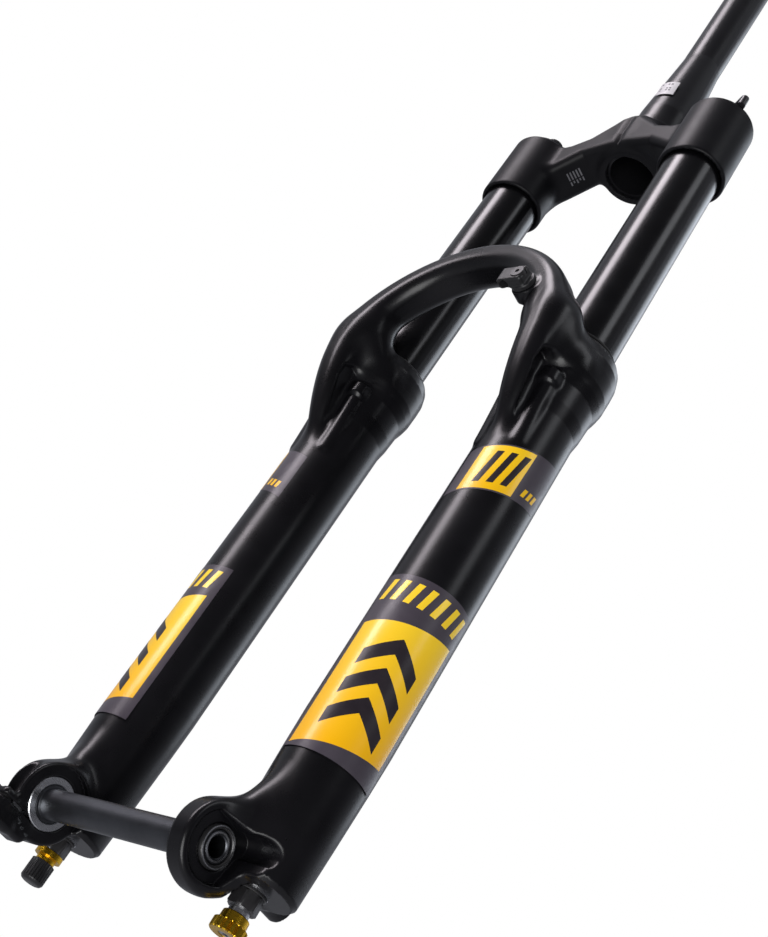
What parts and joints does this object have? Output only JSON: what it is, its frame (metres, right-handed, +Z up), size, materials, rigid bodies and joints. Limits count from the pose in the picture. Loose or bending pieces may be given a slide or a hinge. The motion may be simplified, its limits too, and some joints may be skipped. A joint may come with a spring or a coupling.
{
  "type": "suspension fork",
  "caption": "Single-crown telescopic bicycle suspension fork with one-piece lower casting, forward arch, tapered steerer and through axle.",
  "frame": {"origin": "where the steerer axis meets the top face of the crown, on which the crown race rests", "axes": "+Z up along the steerer, -Y towards the front of the fork, +X towards the rider's left"},
  "size_m": [0.1944, 0.102, 0.834],
  "materials": {
    "crown_black": "satin black anodised forging",
    "steerer_black": "satin black anodised tube",
    "stanchion_black": "polished black hard coat",
    "cap_black": "satin black anodised",
    "cast_black": "satin black paint on cast magnesium",
    "gold": "gold anodised",
    "bright_metal": "machined",
    "steel": "zinc plated steel",
    "black_steel": "black oxide steel",
    "grey_tube": "clear anodised",
    "axle_grey": "dark grey anodised",
    "bushing": "low friction lining",
    "seal_rubber": "nitrile rubber",
    "foam": "open cell foam",
    "bumper": "polyurethane",
    "black_plastic": "moulded"
  },
  "bodies": {
    "uppers": {"crown": "crown_black", "steerer_tube": "steerer_black", "stanchion_left": "stanchion_black", "stanchion_right": "stanchion_black", "damper_top_cap": "cap_black", "air_top_cap": "cap_black", "top_valve_stem": "gold", "top_cap_seals": "seal_rubber", "damper_cartridge_tube": "grey_tube", "damper_inner_tube": "grey_tube", "compression_valve": "gold", "damper_seal_head": "cap_black", "air_seal_head": "cap_black", "seal_head_rings": "steel"},
    "compression_lever": {"compression_lever": "cap_black"},
    "compression_knob": {"compression_knob": "cap_black", "knob_screw": "steel"},
    "top_valve_cap": {"top_valve_cap": "black_plastic"},
    "travel_ring": {"travel_ring": "seal_rubber"},
    "lowers": {"lower_legs": "cast_black", "upper_bushings": "bushing", "lower_bushings": "bushing", "foam_rings": "foam", "dust_wipers": "seal_rubber", "wiper_springs": "steel", "damper_rod": "bright_metal", "damper_piston": "gold", "piston_nut": "steel", "top_out_bumper": "bumper", "air_rod": "bright_metal", "air_piston": "black_plastic", "air_piston_seal": "seal_rubber", "bottom_out_bumper": "bumper", "foot_nuts": "black_steel", "crush_washers": "bright_metal", "rebound_stud": "bright_metal", "ramp_valve_body": "gold", "axle_collar": "bright_metal", "hose_guide": "black_plastic", "hose_guide_screw": "black_steel"},
    "rebound_knob": {"rebound_knob": "gold", "rebound_knob_screw": "steel", "rebound_needle": "steel"},
    "ramp_valve_cap": {"ramp_valve_cap": "black_plastic"},
    "pinch_bolt": {"pinch_bolt": "black_steel"},
    "axle": {"axle": "axle_grey"}
  },
  "joints": [
    {"name": "suspension_travel", "type": "slide", "parent": "uppers", "child": "lowers", "axis": [0, 0, 1], "range_m": [0, 0.17], "stiffness_N_per_m": 4500, "springref_m": -0.03},
    {"name": "travel_ring_slide", "type": "slide", "parent": "uppers", "child": "travel_ring", "axis": [0, 0, 1], "range_m": [0, 0.17]},
    {"name": "compression_lever_turn", "type": "hinge", "parent": "uppers", "child": "compression_lever", "pos_m": [0.07, -0.018, -0.0145], "axis": [0, 0, 1], "range_deg": [0, 80]},
    {"name": "compression_knob_turn", "type": "hinge", "parent": "uppers", "child": "compression_knob", "pos_m": [0.07, -0.018, -0.0085], "axis": [0, 0, 1], "range_deg": [0, 300]},
    {"name": "top_valve_cap_turn", "type": "hinge", "parent": "uppers", "child": "top_valve_cap", "pos_m": [-0.07, -0.018, -0.0085], "axis": [0, 0, 1], "continuous": true},
    {"name": "rebound_knob_turn", "type": "hinge", "parent": "lowers", "child": "rebound_knob", "pos_m": [0.07, -0.018, -0.616], "axis": [0, 0, 1], "range_deg": [0, 330]},
    {"name": "ramp_valve_cap_turn", "type": "hinge", "parent": "lowers", "child": "ramp_valve_cap", "pos_m": [-0.07, -0.018, -0.618], "axis": [0, 0, 1], "continuous": true},
    {"name": "pinch_bolt_turn", "type": "hinge", "parent": "lowers", "child": "pinch_bolt", "pos_m": [-0.0615, -0.064, -0.61], "axis": [0, 0, 1], "continuous": true},
    {"name": "axle_withdraw", "type": "slide", "parent": "lowers", "child": "axle", "axis": [-1, 0, 0], "range_m": [0, 0.14]}
  ],
  "couplings": [
    {"joint": "travel_ring_slide", "follows": "suspension_travel", "ratio": 1}
  ]
}
